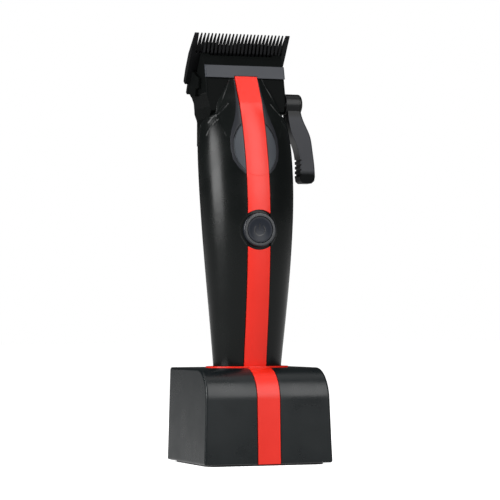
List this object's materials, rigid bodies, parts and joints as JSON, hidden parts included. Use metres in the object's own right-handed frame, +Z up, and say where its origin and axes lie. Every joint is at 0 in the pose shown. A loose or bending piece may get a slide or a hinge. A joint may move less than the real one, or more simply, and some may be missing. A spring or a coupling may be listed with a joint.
{
  "type": "hair clipper",
  "caption": "Cordless hair clipper with a wide tilted blade set, side taper lever and round power button, standing head-up in a small charging stand.",
  "frame": {"origin": "centre of the stand's underside, on the surface it stands on", "axes": "+Z up along the clipper, -Y the front with the stripe and the button, +X the side with the taper lever"},
  "size_m": [0.0648, 0.0552, 0.1973],
  "materials": {
    "stand_black": "satin moulded plastic",
    "body_black": "semi-gloss moulded plastic",
    "red": "satin red plastic",
    "grey_trim": "satin grey trim",
    "button_grey": "satin blue-grey plastic",
    "lever_grey": "satin dark grey",
    "inner_plastic": "plain moulded",
    "rubber": "matt",
    "screw_steel": "blackened steel",
    "motor_steel": "plated steel",
    "spring_steel": "spring steel",
    "blade_black": "black coated steel",
    "gold_contact": "gold plated",
    "circuit_board": "green solder mask",
    "cell_wrap": "shrink wrap"
  },
  "bodies": {
    "stand": {"stand_housing": "stand_black", "stand_stripe": "red", "socket_liner": "red", "stand_base_plate": "inner_plastic", "stand_foot_pad": "rubber", "stand_screws": "screw_steel", "stand_board": "circuit_board", "contact_block": "inner_plastic", "power_inlet": "inner_plastic"},
    "charge_pin_left": {"charge_pin_left": "gold_contact"},
    "charge_pin_right": {"charge_pin_right": "gold_contact"},
    "clipper": {"front_housing": "body_black", "rear_housing": "body_black", "oval_plate": "grey_trim", "front_stripe": "red", "tail_cap": "body_black", "tail_stripe": "red", "contact_pads": "gold_contact", "housing_screws": "screw_steel", "button_bezel": "grey_trim", "switch_board": "circuit_board", "battery_cell": "cell_wrap", "battery_cradle": "inner_plastic", "main_board": "circuit_board", "motor_can": "motor_steel", "motor_mount": "inner_plastic", "motor_screws": "screw_steel", "head_frame": "body_black", "front_bar": "grey_trim", "comb_blade": "blade_black", "blade_screws": "screw_steel"},
    "button": {"power_button": "button_grey"},
    "rotor": {"motor_rotor": "motor_steel"},
    "lever": {"lever_shaft": "motor_steel", "taper_lever": "lever_grey", "lever_cap": "body_black"},
    "carriage": {"blade_carriage": "inner_plastic", "cutter_spring": "spring_steel"},
    "cutter": {"cutter_blade": "blade_black", "drive_yoke": "inner_plastic"}
  },
  "joints": [
    {"name": "clipper_lift", "type": "slide", "parent": "stand", "child": "clipper", "axis": [0, 0, 1], "range_m": [0, 0.06]},
    {"name": "charge_pin_left_press", "type": "slide", "parent": "stand", "child": "charge_pin_left", "axis": [0, 0, -1], "range_m": [0, 0.0008], "stiffness_N_per_m": 150},
    {"name": "charge_pin_right_press", "type": "slide", "parent": "stand", "child": "charge_pin_right", "axis": [0, 0, -1], "range_m": [0, 0.0008], "stiffness_N_per_m": 150},
    {"name": "button_press", "type": "slide", "parent": "clipper", "child": "button", "axis": [0, 1, 0], "range_m": [0, 0.0008], "stiffness_N_per_m": 800},
    {"name": "motor_spin", "type": "hinge", "parent": "clipper", "child": "rotor", "pos_m": [0, 0.006, 0.14], "axis": [0, 0, 1], "continuous": true},
    {"name": "lever_swing", "type": "hinge", "parent": "clipper", "child": "lever", "pos_m": [0.02, 0.006, 0.1652], "axis": [-1, 0, 0], "range_deg": [0, 50]},
    {"name": "taper_slide", "type": "slide", "parent": "clipper", "child": "carriage", "axis": [0, -0.5736, 0.8192], "range_m": [0, 0.003]},
    {"name": "cutter_stroke", "type": "slide", "parent": "carriage", "child": "cutter", "axis": [1, 0, 0], "range_m": [-0.00125, 0.00125]}
  ],
  "couplings": [
    {"joint": "taper_slide", "follows": "lever_swing", "m_per_rad": 0.003438}
  ]
}
